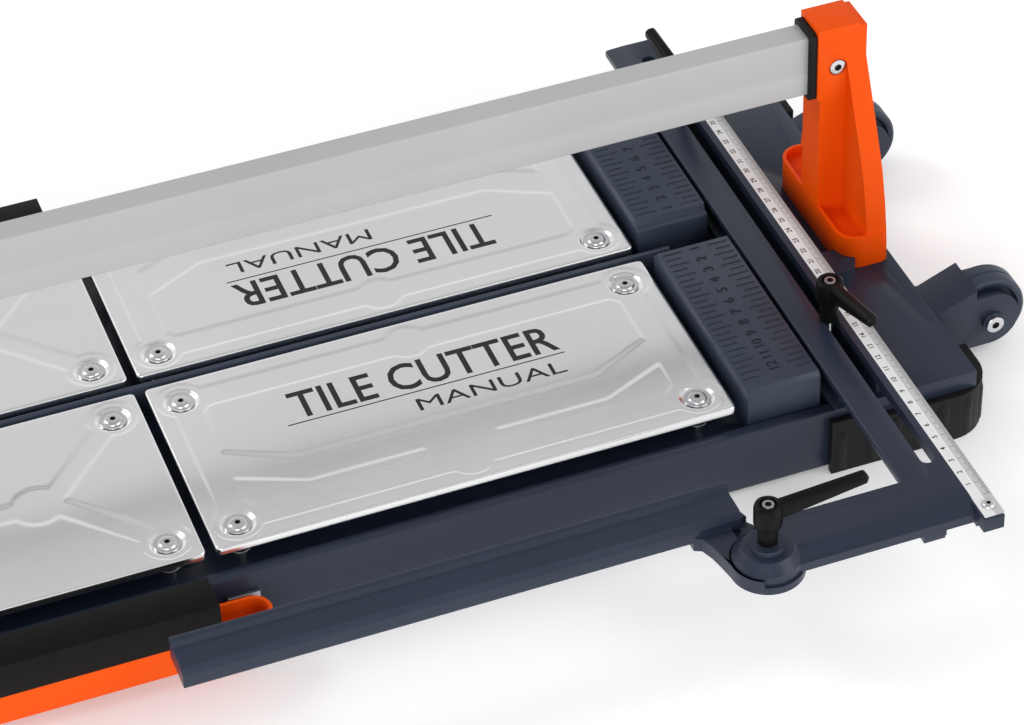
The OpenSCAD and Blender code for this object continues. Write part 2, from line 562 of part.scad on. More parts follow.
module breaker_foot() color(orange) translate([px - 46, 0, pz - 32]) difference() {
    union() {
        for (s = [-1, 1]) {
            rod_y(0, 0, 6, s * 6.5 - 2, s * 6.5 + 2);
            box([-6, s * 6.5 - 2, -13], [6, s * 6.5 + 2, 0]);
        }
        prism_x(-9, 9) polygon([[-9, -11], [9, -11], [34, -19], [34, -21.5], [20, -21.5], [0, -14],
            [-20, -21.5], [-34, -21.5], [-34, -19]]);
    }
    rod_y(0, 0, 2.5 + fit, -20, 20);
}

base_tray();
spine_beam();
breaking_rib();
end_plate_right();
end_plate_left();
rubber_feet();
scale_block_near();
scale_block_far();
plate_screws();
table_springs();
support_brackets();
support_bolts();
post_right();
post_left();
post_bolts();
rail();
rail_gaskets();
rail_screws();
wheel_bracket_near();
wheel_bracket_far();
wheel_bolts();
fence_studs();
near_plate(0);  // plate_near_1
near_plate(1);  // plate_near_2
near_plate(2);  // plate_near_3
near_plate(3);  // plate_near_4
far_plate(0);  // plate_far_1
far_plate(1);  // plate_far_2
far_plate(2);  // plate_far_3
far_plate(3);  // plate_far_4
support_channel_near_right();
support_channel_near_left();
support_channel_far_right();
support_channel_far_left();
support_pad_near_right();
support_pad_near_left();
support_pad_far_right();
support_pad_far_left();
wheel_near();
wheel_far();
fence_bar();
ruler_strip();
ruler_screws();
arm_pivot_bolt();
clamp_lever_near();
clamp_lever_far();
swing_arm();
arm_clamp_lever();
carriage_body();
roller_axles();
guide_roller_rear();
guide_roller_front();
guide_roller_top();
handle_pin();
handle_yoke();
handle_tube();
handle_grip();
scoring_wheel();
head_pins();
breaker_foot();
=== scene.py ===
import json
import math

import bpy
import numpy as np
from mathutils import Matrix, Vector

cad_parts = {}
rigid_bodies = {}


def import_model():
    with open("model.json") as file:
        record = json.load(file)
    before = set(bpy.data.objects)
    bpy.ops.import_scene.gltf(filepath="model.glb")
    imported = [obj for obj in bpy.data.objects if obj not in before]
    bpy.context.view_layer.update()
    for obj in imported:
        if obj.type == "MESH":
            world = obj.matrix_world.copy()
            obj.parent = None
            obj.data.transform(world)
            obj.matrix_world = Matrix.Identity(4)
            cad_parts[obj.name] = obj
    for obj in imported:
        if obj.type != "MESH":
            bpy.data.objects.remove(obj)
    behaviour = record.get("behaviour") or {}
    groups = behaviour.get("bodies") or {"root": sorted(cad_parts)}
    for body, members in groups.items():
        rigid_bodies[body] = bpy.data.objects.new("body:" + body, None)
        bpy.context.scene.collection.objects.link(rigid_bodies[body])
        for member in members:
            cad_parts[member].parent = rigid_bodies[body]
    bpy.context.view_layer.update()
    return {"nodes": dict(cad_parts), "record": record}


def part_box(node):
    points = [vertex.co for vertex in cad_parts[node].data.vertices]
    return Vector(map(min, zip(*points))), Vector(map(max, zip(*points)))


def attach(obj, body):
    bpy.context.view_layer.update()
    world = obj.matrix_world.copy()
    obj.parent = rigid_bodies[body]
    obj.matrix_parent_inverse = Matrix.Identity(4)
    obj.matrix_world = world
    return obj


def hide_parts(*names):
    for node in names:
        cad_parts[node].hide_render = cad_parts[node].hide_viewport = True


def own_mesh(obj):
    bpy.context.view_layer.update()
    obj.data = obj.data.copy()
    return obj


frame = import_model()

MM = 0.001                      # sizes below are in millimetres unless they say otherwise
RECORD = frame["record"]
BODY = {node: body for body, nodes in RECORD["behaviour"]["bodies"].items() for node in nodes}
SLOT = {part["node"]: part["material_slot"] for part in RECORD["subparts"]}


# ---- camera -------------------------------------------------------------------------------
CAMERA_AT = (8.2, -1490.0, 1335.3)
CAMERA_TURN = (-18.77, 40.35, -2.58)    # swing to the side, look down and roll, in degrees
LENS, SENSOR = 127.44, 36


def set_camera():
    swing, lift, roll = [math.radians(angle) for angle in CAMERA_TURN]
    forward = Vector((-math.sin(swing) * math.cos(lift), math.cos(swing) * math.cos(lift),
                      -math.sin(lift)))
    level = Vector((math.cos(swing), math.sin(swing), 0))
    above = level.cross(forward)
    right = level * math.cos(roll) + above * math.sin(roll)
    up = right.cross(forward)
    turn = Matrix((right, up, -forward)).transposed()
    bpy.ops.object.camera_add(location=Vector(CAMERA_AT) * MM, rotation=turn.to_euler())
    camera = bpy.context.object
    camera.data.sensor_width = SENSOR
    camera.data.lens = LENS
    camera.data.clip_end = 50
    bpy.context.scene.camera = camera


set_camera()


# ---- shop tools ---------------------------------------------------------------------------
def choose(*pieces):
    """Leaves only these pieces selected, the first one active."""
    bpy.ops.object.select_all(action="DESELECT")
    for piece in pieces:
        piece.select_set(True)
    bpy.context.view_layer.objects.active = pieces[0]


def settle(piece):
    """Puts a piece's place, turn and scale into its mesh."""
    choose(piece)
    bpy.ops.object.transform_apply(location=True, rotation=True, scale=True)
    return piece


def modify(piece, kind, **settings):
    """Adds a modifier with its settings and applies it."""
    choose(piece)
    modifier = piece.modifiers.new(kind.title(), kind)
    for key, value in settings.items():
        setattr(modifier, key, value)
    bpy.ops.object.modifier_apply(modifier=modifier.name)
    return piece


def soften(piece, width, segments=2, angle=32, clamp=True):
    return modify(piece, "BEVEL", width=width * MM, segments=segments, limit_method="ANGLE",
                  angle_limit=math.radians(angle), use_clamp_overlap=clamp)


def smooth(piece, angle=38):
    choose(piece)
    bpy.ops.object.shade_smooth_by_angle(angle=math.radians(angle))
    return piece


def outward(piece):
    """Merges doubled points and turns all faces out."""
    choose(piece)
    bpy.ops.object.mode_set(mode="EDIT")
    bpy.ops.mesh.select_all(action="SELECT")
    bpy.ops.mesh.remove_doubles(threshold=1e-7)
    bpy.ops.mesh.normals_make_consistent(inside=False)
    bpy.ops.object.mode_set(mode="OBJECT")
    return piece


def block(name, low, high, edge=0.0, segments=2):
    middle = [(a + b) / 2 * MM for a, b in zip(low, high)]
    bpy.ops.object.select_all(action="DESELECT")
    bpy.ops.mesh.primitive_cube_add(size=1, location=middle)
    piece = bpy.context.object
    piece.name = name
    piece.scale = [(b - a) * MM for a, b in zip(low, high)]
    settle(piece)
    return soften(piece, edge, segments) if edge else piece


def turned(name, profile, sides=40):
    """A solid turned about Z; profile lists (radius, height) from the bottom to the top."""
    bpy.ops.object.select_all(action="DESELECT")
    radius, height = profile[0]
    bpy.ops.mesh.primitive_circle_add(vertices=sides, radius=radius * MM, fill_type="NGON",
                                      location=(0, 0, height * MM))
    piece = bpy.context.object
    piece.name = name
    bpy.ops.object.mode_set(mode="EDIT")
    bpy.ops.mesh.select_all(action="SELECT")
    for next_radius, next_height in profile[1:]:
        rise = (0, 0, (next_height - height) * MM)
        bpy.ops.mesh.extrude_region_move(TRANSFORM_OT_translate={"value": rise})
        share = next_radius / radius
        bpy.ops.transform.resize(value=(share, share, 1), center_override=(0, 0, next_height * MM))
        radius, height = next_radius, next_height
    bpy.ops.object.mode_set(mode="OBJECT")
    settle(piece)
    return outward(piece)


def cut(piece, tool):
    """Takes the tool's shape out of a piece and uses the tool up."""
    modify(piece, "BOOLEAN", operation="DIFFERENCE", solver="EXACT", object=tool)
    bpy.data.objects.remove(tool)
    return piece


def rod(name, radius, low, high, sides=32):
    bpy.ops.object.select_all(action="DESELECT")
    bpy.ops.mesh.primitive_cylinder_add(vertices=sides, radius=radius * MM, depth=(high - low) * MM,
                                        location=(0, 0, (low + high) / 2 * MM))
    piece = bpy.context.object
    piece.name = name
    return settle(piece)


def aim(piece, at, along=(0, 0, 1), spin=0.0):
    """Stands a piece made along +Z at a place, pointing along a direction."""
    turn = Vector((0, 0, 1)).rotation_difference(Vector(along)).to_matrix().to_4x4()
    piece.matrix_world = (Matrix.Translation(Vector(at) * MM) @ turn
                          @ Matrix.Rotation(math.radians(spin), 4, "Z"))
    return settle(piece)


def twin(piece, name=None):
    choose(piece)
    bpy.ops.object.duplicate()
    made = bpy.context.object
    if name:
        made.name = name
    return made


def joined(name, pieces):
    choose(*pieces)
    if len(pieces) > 1:
        bpy.ops.object.join()
    made = bpy.context.object
    made.name = name
    return made


def spread(piece, name, spots, along=(0, 0, 1)):
    """Copies of a piece made at the origin, one at each spot, joined into one piece."""
    made = [aim(twin(piece), spot, along) for spot in spots]
    bpy.data.objects.remove(piece)
    return joined(name, made)


def skin(node, edge, segments=2, angle=32, clamp=True, shade=38):
    """A copy of a CAD node with its seams closed and its edges rounded."""
    choose(frame["nodes"][node])
    bpy.ops.object.duplicate()
    piece = bpy.context.object
    bpy.ops.object.parent_clear(type="CLEAR_KEEP_TRANSFORM")
    piece.name = node + "_body"
    for key in list(piece.keys()):
        del piece[key]
    piece.data.materials.clear()
    bpy.ops.object.mode_set(mode="EDIT")
    bpy.ops.mesh.select_all(action="SELECT")
    bpy.ops.mesh.remove_doubles(threshold=2e-6)
    bpy.ops.mesh.dissolve_limited(angle_limit=math.radians(0.6))
    bpy.ops.object.mode_set(mode="OBJECT")
    if edge:
        soften(piece, edge, segments, angle, clamp)
    return smooth(piece, shade)


def fit(piece, body, finish, slot, *nodes):
    """Gives a piece its finish and its body, and hides the nodes that it stands for."""
    if len(piece.data.materials) < 2:
        piece.data.materials.clear()
        piece.data.materials.append(finish)
    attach(piece, body)
    if nodes:
        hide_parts(*nodes)
    return piece


def dress(node, finish, edge, **settings):
    return fit(skin(node, edge, **settings), BODY[node], finish, SLOT[node], node)


# ---- finishes -----------------------------------------------------------------------------
class Signal:
    """One socket of a finish, so that shader maths reads as plain expressions."""

    def __init__(self, finish, socket):
        self.finish, self.socket = finish, socket

    def math(self, operation, first, second):
        return self.finish.node("ShaderNodeMath", {"operation": operation}, {0: first, 1: second})

    def __add__(self, other):
        return self.math("ADD", self, other)

    def __radd__(self, other):
        return self.math("ADD", other, self)

    def __sub__(self, other):
        return self.math("SUBTRACT", self, other)

    def __rsub__(self, other):
        return self.math("SUBTRACT", other, self)

    def __mul__(self, other):
        return self.math("MULTIPLY", self, other)

    def __rmul__(self, other):
        return self.math("MULTIPLY", other, self)

    def __gt__(self, other):
        return self.math("GREATER_THAN", self, other)


class Finish:
    """A material with one glossy shader; set feeds the shader, node adds any other node."""

    def __init__(self, name, roughness, metallic=0.0, coat=0.0, specular=0.5):
        self.material = bpy.data.materials.new(name)
        self.material.use_nodes = True
        self.tree = self.material.node_tree
        self.tree.nodes.clear()
        self.shader = self.tree.nodes.new("ShaderNodeBsdfPrincipled")
        end = self.tree.nodes.new("ShaderNodeOutputMaterial")
        self.tree.links.new(self.shader.outputs["BSDF"], end.inputs["Surface"])
        self.set("Roughness", roughness)
        self.set("Metallic", metallic)
        self.set("Coat Weight", coat)
        self.set("Coat Roughness", 0.15)
        self.set("Specular IOR Level", specular)
        self.place = self.node("ShaderNodeTexCoord", output="Object")

    def set(self, name, value):
        self.feed(self.shader.inputs[name], value)

    def feed(self, socket, value):
        if isinstance(value, Signal):
            self.tree.links.new(value.socket, socket)
        else:
            socket.default_value = value

    def node(self, kind, settings=None, inputs=None, output=0):
        made = self.tree.nodes.new(kind)
        for key, value in (settings or {}).items():
            if key == "stops":
                ramp = made.color_ramp
                while len(ramp.elements) < len(value):
                    ramp.elements.new(0.5)
                for element, (position, shade) in zip(ramp.elements, value):
                    element.position, element.color = position, (*shade, 1)
            else:
                setattr(made, key, value)
        for key, value in (inputs or {}).items():
            self.feed(made.inputs[key], value)
        return Signal(self, made.outputs[output])

    def grain(self, scale, detail=3, stretch=None):
        place = self.place
        if stretch:
            place = self.node("ShaderNodeMapping", None, {"Vector": place, "Scale": stretch})
        return self.node("ShaderNodeTexNoise", None,
                         {"Vector": place, "Scale": scale, "Detail": detail}, "Fac")

    def tint(self, share, low, high):
        """A colour that goes from low to high as share goes from 0.3 to 0.7."""
        return self.node("ShaderNodeValToRGB", {"stops": [(0.3, low), (0.7, high)]},
                         {"Fac": share}, "Color")

    def bump(self, height, depth):
        made = self.node("ShaderNodeBump", None, {"Height": height, "Distance": depth * MM}, "Normal")
        self.set("Normal", made)


def enamel(name, low, high, roughness=0.42, coat=0.03, peel=0.05, gloss=0.3):
    """Sprayed paint: slight drift in colour, orange peel and uneven gloss."""
    made = Finish(name, roughness, coat=coat, specular=gloss)
    made.set("Base Color", made.tint(made.grain(7, 4), low, high))
    made.set("Roughness", roughness + 0.12 * (made.grain(45, 3) - 0.5))
    made.bump(made.grain(420, 2), peel)
    return made.material


def moulding(name, low, high, roughness=0.5, texture=0.06, size=900, gloss=0.4):
    """Moulded plastic or rubber with a fine eroded surface."""
    made = Finish(name, roughness, specular=gloss)
    made.set("Base Color", made.tint(made.grain(18, 3), low, high))
    made.set("Roughness", roughness + 0.16 * (made.grain(80, 3) - 0.5))
    made.bump(made.grain(size, 4), texture)
    return made.material


def metal(name, low, high, roughness, lines=None, depth=0.006):
    """Bare metal; lines stretches its fine marks along one direction."""
    made = Finish(name, roughness, metallic=1.0)
    marks = made.grain(260, 5, lines) if lines else made.grain(320, 4)
    made.set("Base Color", made.tint(made.grain(10, 3), low, high))
    made.set("Roughness", roughness + 0.14 * (marks - 0.5))
    made.bump(marks, depth)
    return made.material


NAVY = enamel("navy_enamel", (0.016, 0.023, 0.042), (0.021, 0.029, 0.052), 0.36, 0.05)
NAVY_MOULDING = moulding("navy_moulding", (0.027, 0.037, 0.060), (0.033, 0.046, 0.073), 0.44,
                         gloss=0.35)
ORANGE = enamel("orange_enamel", (0.80, 0.074, 0.001), (0.86, 0.090, 0.002), 0.44, 0.0,
                gloss=0.12)
ZINC = metal("zinc_plate", (0.62, 0.62, 0.64), (0.74, 0.74, 0.75), 0.22)
SHEET = metal("polished_sheet", (0.88, 0.88, 0.88), (0.94, 0.94, 0.94), 0.22,
              lines=(0.15, 6, 6), depth=0.003)
RAIL = enamel("rail_silver", (0.44, 0.44, 0.44), (0.47, 0.47, 0.47), 0.55, 0.0, 0.02)
SCALE_MARK = moulding("scale_mark", (0.009, 0.012, 0.020), (0.013, 0.017, 0.027), 0.5,
                      gloss=0.25)
BLACK = moulding("black_moulding", (0.002, 0.002, 0.0023), (0.004, 0.004, 0.0044), 0.4,
                 gloss=0.12)
RUBBER = moulding("foot_rubber", (0.004, 0.004, 0.005), (0.008, 0.008, 0.009), 0.55,
                  texture=0.1, size=600, gloss=0.22)
SPRING = metal("spring_wire", (0.30, 0.30, 0.32), (0.42, 0.42, 0.44), 0.34)
# near-black paint for the inside of screw sockets: painted shade for the dark hollow, not the screw's
# own colour
SOCKET_PAINTED_SHADE = moulding("socket_painted_shade", (0.008, 0.008, 0.009), (0.016, 0.016, 0.018), 0.6)
INK = moulding("black_ink", (0.006, 0.006, 0.006), (0.012, 0.012, 0.012), 0.5, texture=0.02)
GRIP = moulding("grip_rubber", (0.008, 0.008, 0.009), (0.015, 0.015, 0.016), 0.6,
                texture=0.12, size=500)
RULER_SPLIT = 0.6768            # metres along X where the white half meets the grey half


def ruler_paint():
    """White on the number side, grey under the millimetre ticks."""
    made = Finish("ruler_enamel", 0.35)
    across = made.node("ShaderNodeSeparateXYZ", None, {"Vector": made.place}, "X")
    wear = made.grain(60, 4)
    shade = 0.74 - 0.24 * (across > RULER_SPLIT) + 0.03 * wear
    made.set("Base Color", made.node("ShaderNodeCombineXYZ", None,
                                     {"X": shade, "Y": shade, "Z": shade}, "Vector"))
    made.set("Roughness", 0.3 + 0.15 * wear)
    made.bump(made.grain(500, 2), 0.01)
    return made.material


RULER = ruler_paint()


# ---- floor and light ----------------------------------------------------------------------
SKY_STOPS = ((0.0, (1.0, 1.0, 1.0, 1)), (0.9, (0.55, 0.55, 0.56, 1)))
LAMPS = (("key_light", (-1.6, 1.9, 2.6), 1.4, 30),      # name, place and side in metres, watts
         ("fill_light", (2.4, -1.6, 1.9), 1.8, 24),
         ("front_light", (-1.0, -3.0, 1.0), 1.8, 38))


def studio():
    bpy.ops.mesh.primitive_plane_add(size=30, location=(0, 0, 0))
    floor = bpy.context.object
    floor.name = "floor"
    paint = Finish("floor_paper", 0.9, specular=0.1)
    paint.set("Base Color", (0.95, 0.95, 0.95, 1))
    paint.set("Emission Color", (1, 1, 1, 1))
    paint.set("Emission Strength", 0.2)
    floor.data.materials.append(paint.material)
    world = bpy.data.worlds.new("studio_sky")
    bpy.context.scene.world = world
    world.use_nodes = True
    links, back = world.node_tree.links, world.node_tree.nodes["Background"]
    heading = world.node_tree.nodes.new("ShaderNodeTexCoord")
    split = world.node_tree.nodes.new("ShaderNodeSeparateXYZ")
    ramp = world.node_tree.nodes.new("ShaderNodeValToRGB")
    links.new(heading.outputs["Generated"], split.inputs["Vector"])
    links.new(split.outputs["Z"], ramp.inputs["Fac"])
    links.new(ramp.outputs["Color"], back.inputs["Color"])
    for stop, (position, shade) in zip(ramp.color_ramp.elements, SKY_STOPS):
        stop.position, stop.color = position, shade
    back.inputs["Strength"].default_value = 0.95
    bpy.context.scene.view_settings.view_transform = "Standard"
    for name, place, size, power in LAMPS:
        bpy.ops.object.light_add(type="AREA", location=place)
        lamp = bpy.context.object
        lamp.name = name
        lamp.data.energy = power
        lamp.data.shape = "SQUARE"
        lamp.data.size = size
        aim_at = Vector((0.2, 0, 0)) - Vector(place)
        lamp.rotation_euler = aim_at.to_track_quat("-Z", "Y").to_euler()


studio()


# ---- parts kept in shape from the frame, with rounded edges ---------------------------------
def castings_and_sheet_metal():
    for node, edge in (("base_tray", 0.6), ("spine_beam", 0.5), ("end_plate_right", 1.4),
                       ("end_plate_left", 1.4), ("wheel_bracket_near", 1.4),
                       ("wheel_bracket_far", 1.4), ("carriage_body", 2.0)):
        dress(node, NAVY, edge)
    for node in ("fence_bar", "swing_arm"):
        dress(node, NAVY, 0.35, shade=22)
    for node, edge in (("breaking_rib", 0.3), ("scale_block_near", 1.0), ("scale_block_far", 1.0)):
        dress(node, NAVY_MOULDING, edge)
    for node, edge in (("post_right", 1.0), ("post_left", 1.0), ("handle_yoke", 1.4),
                       ("breaker_foot", 0.7)):
        dress(node, ORANGE, edge, segments=3)
    for place in ("near_right", "near_left", "far_right", "far_left"):
        dress("support_channel_" + place, ORANGE, 0.5)
        dress("support_pad_" + place, BLACK, 2.0, segments=3)
    dress("rail", RAIL, 0.25)
    dress("rail_gaskets", RUBBER, 1.2)
    dress("support_brackets", SPRING, 0.6)
    for node, edge in (("handle_tube", 0.4), ("scoring_wheel", 0), ("fence_studs", 0.4),
                       ("arm_pivot_bolt", 0.5), ("handle_pin", 0.8), ("head_pins", 0.5),
                       ("roller_axles", 0.4)):
        dress(node, ZINC, edge)


castings_and_sheet_metal()


# ---- pressed steel table plates --------------------------------------------------------------
PLATE_L, PLATE_W, TABLE_Z = 292.0, 137.4, 54.0
RIM = 4.5                       # how far the folded rim hangs down
CORNER_R = 3.0                  # radius of a plate's corners
RIM_WALL, RIM_HEM = 1.3, 1.7    # thickness of the rim, and how far its inner side goes back up
PRESS, FADE = 0.5, 1.8          # depth of the pressed bands and width of their slopes
SCREW_IN = 16.4                 # from a plate's edges to a screw
SEAT_R, SEAT_DEPTH = 8.9, 1.97  # the sunk seat of a screw
RING_R, RING_RISE = 10.6, 0.35  # the raised ring round the seat
BOSS_R = 13.4                   # the pressed round around both
CORNERS = [(SCREW_IN, SCREW_IN), (PLATE_L - SCREW_IN, SCREW_IN),
           (SCREW_IN, PLATE_W - SCREW_IN), (PLATE_L - SCREW_IN, PLATE_W - SCREW_IN)]
ROWS, NUMBERS = ("near", "far"), (1, 2, 3, 4)


def from_polygon(u, v, corners):
    """Signed distance to a polygon, below zero inside it."""
    count = len(corners)
    best = np.full(u.shape, 1e9)
    inside = np.zeros(u.shape, bool)
    for i in range(count):
        (ax, ay), (bx, by) = corners[i], corners[(i + 1) % count]
        ex, ey = bx - ax, by - ay
        along = np.clip(((u - ax) * ex + (v - ay) * ey) / (ex * ex + ey * ey), 0, 1)
        best = np.minimum(best, np.hypot(u - ax - along * ex, v - ay - along * ey))
        crosses = ((ay > v) != (by > v)) & (u < ex * (v - ay) / (ey if ey else 1e-9) + ax)
        inside ^= crosses
    return np.where(inside, -best, best)


def from_bar(u, v, start, end, half):
    """Signed distance to a straight bar with round ends."""
    (ax, ay), (bx, by) = start, end
    ex, ey = bx - ax, by - ay
    along = np.clip(((u - ax) * ex + (v - ay) * ey) / (ex * ex + ey * ey), 0, 1)
    return np.hypot(u - ax - along * ex, v - ay - along * ey) - half


def step(distance, width):
    """1 well inside a shape, 0 well outside it, smooth between."""
    share = np.clip(0.5 - distance / width, 0, 1)
    return share * share * (3 - 2 * share)


def framed_relief(u, v):
    """A pressed band round the plate from screw to screw, with three flat fields inside."""
    middle = PLATE_L / 2
    field = [(25, 31), (30, 26), (PLATE_L - 30, 26), (PLATE_L - 25, 31), (PLATE_L - 25, 65),
             (PLATE_L - 60, 83), (60, 83), (25, 65)]
    lower = [(25, 88), (61, 104), (middle - 20, 104), (middle - 20, 112), (31, 112), (25, 107)]
    outer = from_polygon(u, v, [(10, 10), (PLATE_L - 10, 10), (PLATE_L - 10, PLATE_W - 10),
                                (10, PLATE_W - 10)])
    band = np.maximum(outer, -from_polygon(u, v, field))
    band = np.maximum(band, -from_polygon(u, v, lower))
    band = np.maximum(band, -from_polygon(u, v, [(PLATE_L - a, b) for a, b in lower]))
    for centre in ((middle, 17), (middle, PLATE_W - 17)):
        band = np.minimum(band, from_bar(u, v, centre, (middle + 0.1, centre[1]), 13))
    return band


def crossed_relief(u, v):
    """Four pressed arms that run from the screws into a long rib with round ends."""
    half = PLATE_W / 2
    knots = ((72.0, half), (PLATE_L - 72.0, half))
    band = from_bar(u, v, knots[0], knots[1], 6.5)
    for knot in knots:
        band = np.minimum(band, from_bar(u, v, knot, (knot[0] + 0.1, knot[1]), 14.5))
        edge = SCREW_IN if knot[0] < PLATE_L / 2 else PLATE_L - SCREW_IN
        elbow = (knot[0] + (6 if edge > knot[0] else -6), half)
        for v_end in (SCREW_IN, PLATE_W - SCREW_IN):
            band = np.minimum(band, from_bar(u, v, elbow, (edge, v_end), 6.2))
    return band


def lines_across(length):
    """Grid lines over a plate: close round the screws, wider over the fields."""
    rim = [0.0, 0.0, 0.35, 1.0, 2.0]
    near = list(np.arange(3.2, 29.0, 0.95))
    body = list(np.linspace(29.5, length - 29.5, int((length - 59) / 1.35)))
    half = rim + near
    return np.array(half + body + [length - x for x in reversed(half)])


def plate_sheet(name, relief):
    """One plate, its low corner at the origin of u and v, its top at z 0."""
    us, vs = lines_across(PLATE_L), lines_across(PLATE_W)
    bpy.ops.object.select_all(action="DESELECT")
    bpy.ops.mesh.primitive_grid_add(x_subdivisions=len(us) - 1, y_subdivisions=len(vs) - 1, size=2)
    piece = bpy.context.object
    piece.name = name
    mesh = piece.data
    flat = np.zeros(len(mesh.vertices) * 3)
    mesh.vertices.foreach_get("co", flat)
    flat = flat.reshape(-1, 3)
    i = np.rint((flat[:, 0] + 1) / 2 * (len(us) - 1)).astype(int)
    j = np.rint((flat[:, 1] + 1) / 2 * (len(vs) - 1)).astype(int)
    u, v = us[i].copy(), vs[j].copy()
    drops = np.array([RIM, 1.1, 0.35, 0.08, 0.0])
    fold_u = np.minimum(i, len(us) - 1 - i)
    fold_v = np.minimum(j, len(vs) - 1 - j)
    drop = np.maximum(drops[np.minimum(fold_u, 4)], drops[np.minimum(fold_v, 4)])
    du = np.maximum(CORNER_R - np.minimum(u, PLATE_L - u), 0)
    dv = np.maximum(CORNER_R - np.minimum(v, PLATE_W - v), 0)
    both = (du > 0) & (dv > 0)
    share = np.where(both, np.maximum(du, dv) / np.maximum(np.hypot(du, dv), 1e-9), 1)
    in_u, in_v = CORNER_R - du * share, CORNER_R - dv * share
    u = np.where(both, np.where(u < PLATE_L / 2, in_u, PLATE_L - in_u), u)
    v = np.where(both, np.where(v < PLATE_W / 2, in_v, PLATE_W - in_v), v)
    band = relief(u, v)
    dimple = np.full(u.shape, 1e9)
    for at in CORNERS:
        reach = np.hypot(u - at[0], v - at[1])
        band = np.minimum(band, reach - BOSS_R)
        dimple = np.minimum(dimple, reach)
    press = PRESS * step(band, FADE)
    ring = np.exp(-((dimple - RING_R) / 0.8) ** 2) * (dimple < 13)
    ringed = np.maximum(press, PRESS - RING_RISE * ring)
    press = np.where(dimple > BOSS_R, press, ringed)
    press = press + (SEAT_DEPTH - press) * step(dimple - SEAT_R, 2.2)
    height = -np.maximum(press * (drop < 0.05), drop)
    out = np.stack([u, v, height], 1) * MM
    mesh.vertices.foreach_set("co", out.ravel())
    bpy.ops.object.mode_set(mode="EDIT")
    bpy.ops.mesh.select_mode(type="EDGE")
    bpy.ops.mesh.select_all(action="DESELECT")
    bpy.ops.mesh.select_non_manifold()
    centre = (PLATE_L / 2 * MM, PLATE_W / 2 * MM, 0)
    inner = ((PLATE_L - 2 * RIM_WALL) / PLATE_L, (PLATE_W - 2 * RIM_WALL) / PLATE_W, 1)
    bpy.ops.mesh.extrude_edges_move(TRANSFORM_OT_translate={"value": (0, 0, 0)})
    bpy.ops.transform.resize(value=inner, center_override=centre)
    bpy.ops.mesh.extrude_edges_move(TRANSFORM_OT_translate={"value": (0, 0, RIM_HEM * MM)})
    bpy.ops.mesh.edge_face_add()
    bpy.ops.object.mode_set(mode="OBJECT")
    return smooth(piece, 50)


def table_plates():
    """The end plates are framed and the inner ones crossed; the near row mirrors the far one."""
    patterns = {"framed": plate_sheet("framed_plate", framed_relief),
                "crossed": plate_sheet("crossed_plate", crossed_relief)}
    for number in NUMBERS:
        for side in ROWS:
            node = f"plate_{side}_{number}"
            low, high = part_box(node)
            pattern = patterns["framed" if number in (1, 4) else "crossed"]
            sheet = twin(pattern, node + "_sheet")
            if side == "near":
                sheet.scale = (1, -1, 1)
                sheet.location = (low.x, high.y, high.z)
            else:
                sheet.location = (low.x, low.y, high.z)
            settle(sheet)
            choose(sheet)
            bpy.ops.object.mode_set(mode="EDIT")
            bpy.ops.mesh.select_all(action="SELECT")
            bpy.ops.mesh.normals_make_consistent(inside=False)
            bpy.ops.object.mode_set(mode="OBJECT")
            fit(sheet, node, SHEET, "steel_plate", node)
    for pattern in patterns.values():
        bpy.data.objects.remove(pattern)


table_plates()


# ---- screws and springs ----------------------------------------------------------------------
def screw_spots(side, number):
    """Where the four screws of one table plate stand, in X and Y."""
    low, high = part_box(f"plate_{side}_{number}")
    return [(low.x / MM + u, high.y / MM - v if side == "near" else low.y / MM + v)
            for u, v in CORNERS]


def socket_head(name, profile, key, depth, sides=32, shell=None):
    """A turned screw with a hexagonal socket in its top; the inside of the socket is painted
    near-black as painted shade.
    """
    head = turned(name, profile, sides)
    top = profile[-1][1]
    bpy.ops.object.select_all(action="DESELECT")
    bpy.ops.mesh.primitive_cylinder_add(vertices=6, radius=key * MM, depth=2 * depth * MM,
                                        location=(0, 0, top * MM))
    tool = bpy.context.object
    settle(tool)
    cut(head, tool)
    # faces inside the socket take the near-black paint, painted shade in the hollow
    for finish in (shell or ZINC, SOCKET_PAINTED_SHADE):
        head.data.materials.append(finish)
    for face in head.data.polygons:
        spot = face.center / MM
        if math.hypot(spot.x, spot.y) < key * 1.01 and top - depth * 1.05 < spot.z < top - 0.05:
            face.material_index = 1
    return smooth(head, 40)


def table_screws():
    """Domed flange screws that sit in the seats of the table plates."""
    profile = [(3, -20.4), (3, 0.0), (7.2, 0.0), (7.5, 0.25), (7.3, 0.6), (6.1, 0.45), (5.4, 0.5),
               (5.2, 1.1), (4.4, 1.65), (3.1, 1.92), (2.6, 1.92)]
    screw = socket_head("table_screw", profile, 1.7, 1.3, 28)
    spots = [(x, y, TABLE_Z - 1.96) for side in ROWS for number in NUMBERS
             for x, y in screw_spots(side, number)]
    made = spread(screw, "table_screw_set", spots)
    fit(made, "base", ZINC, "steel_bright", "plate_screws")


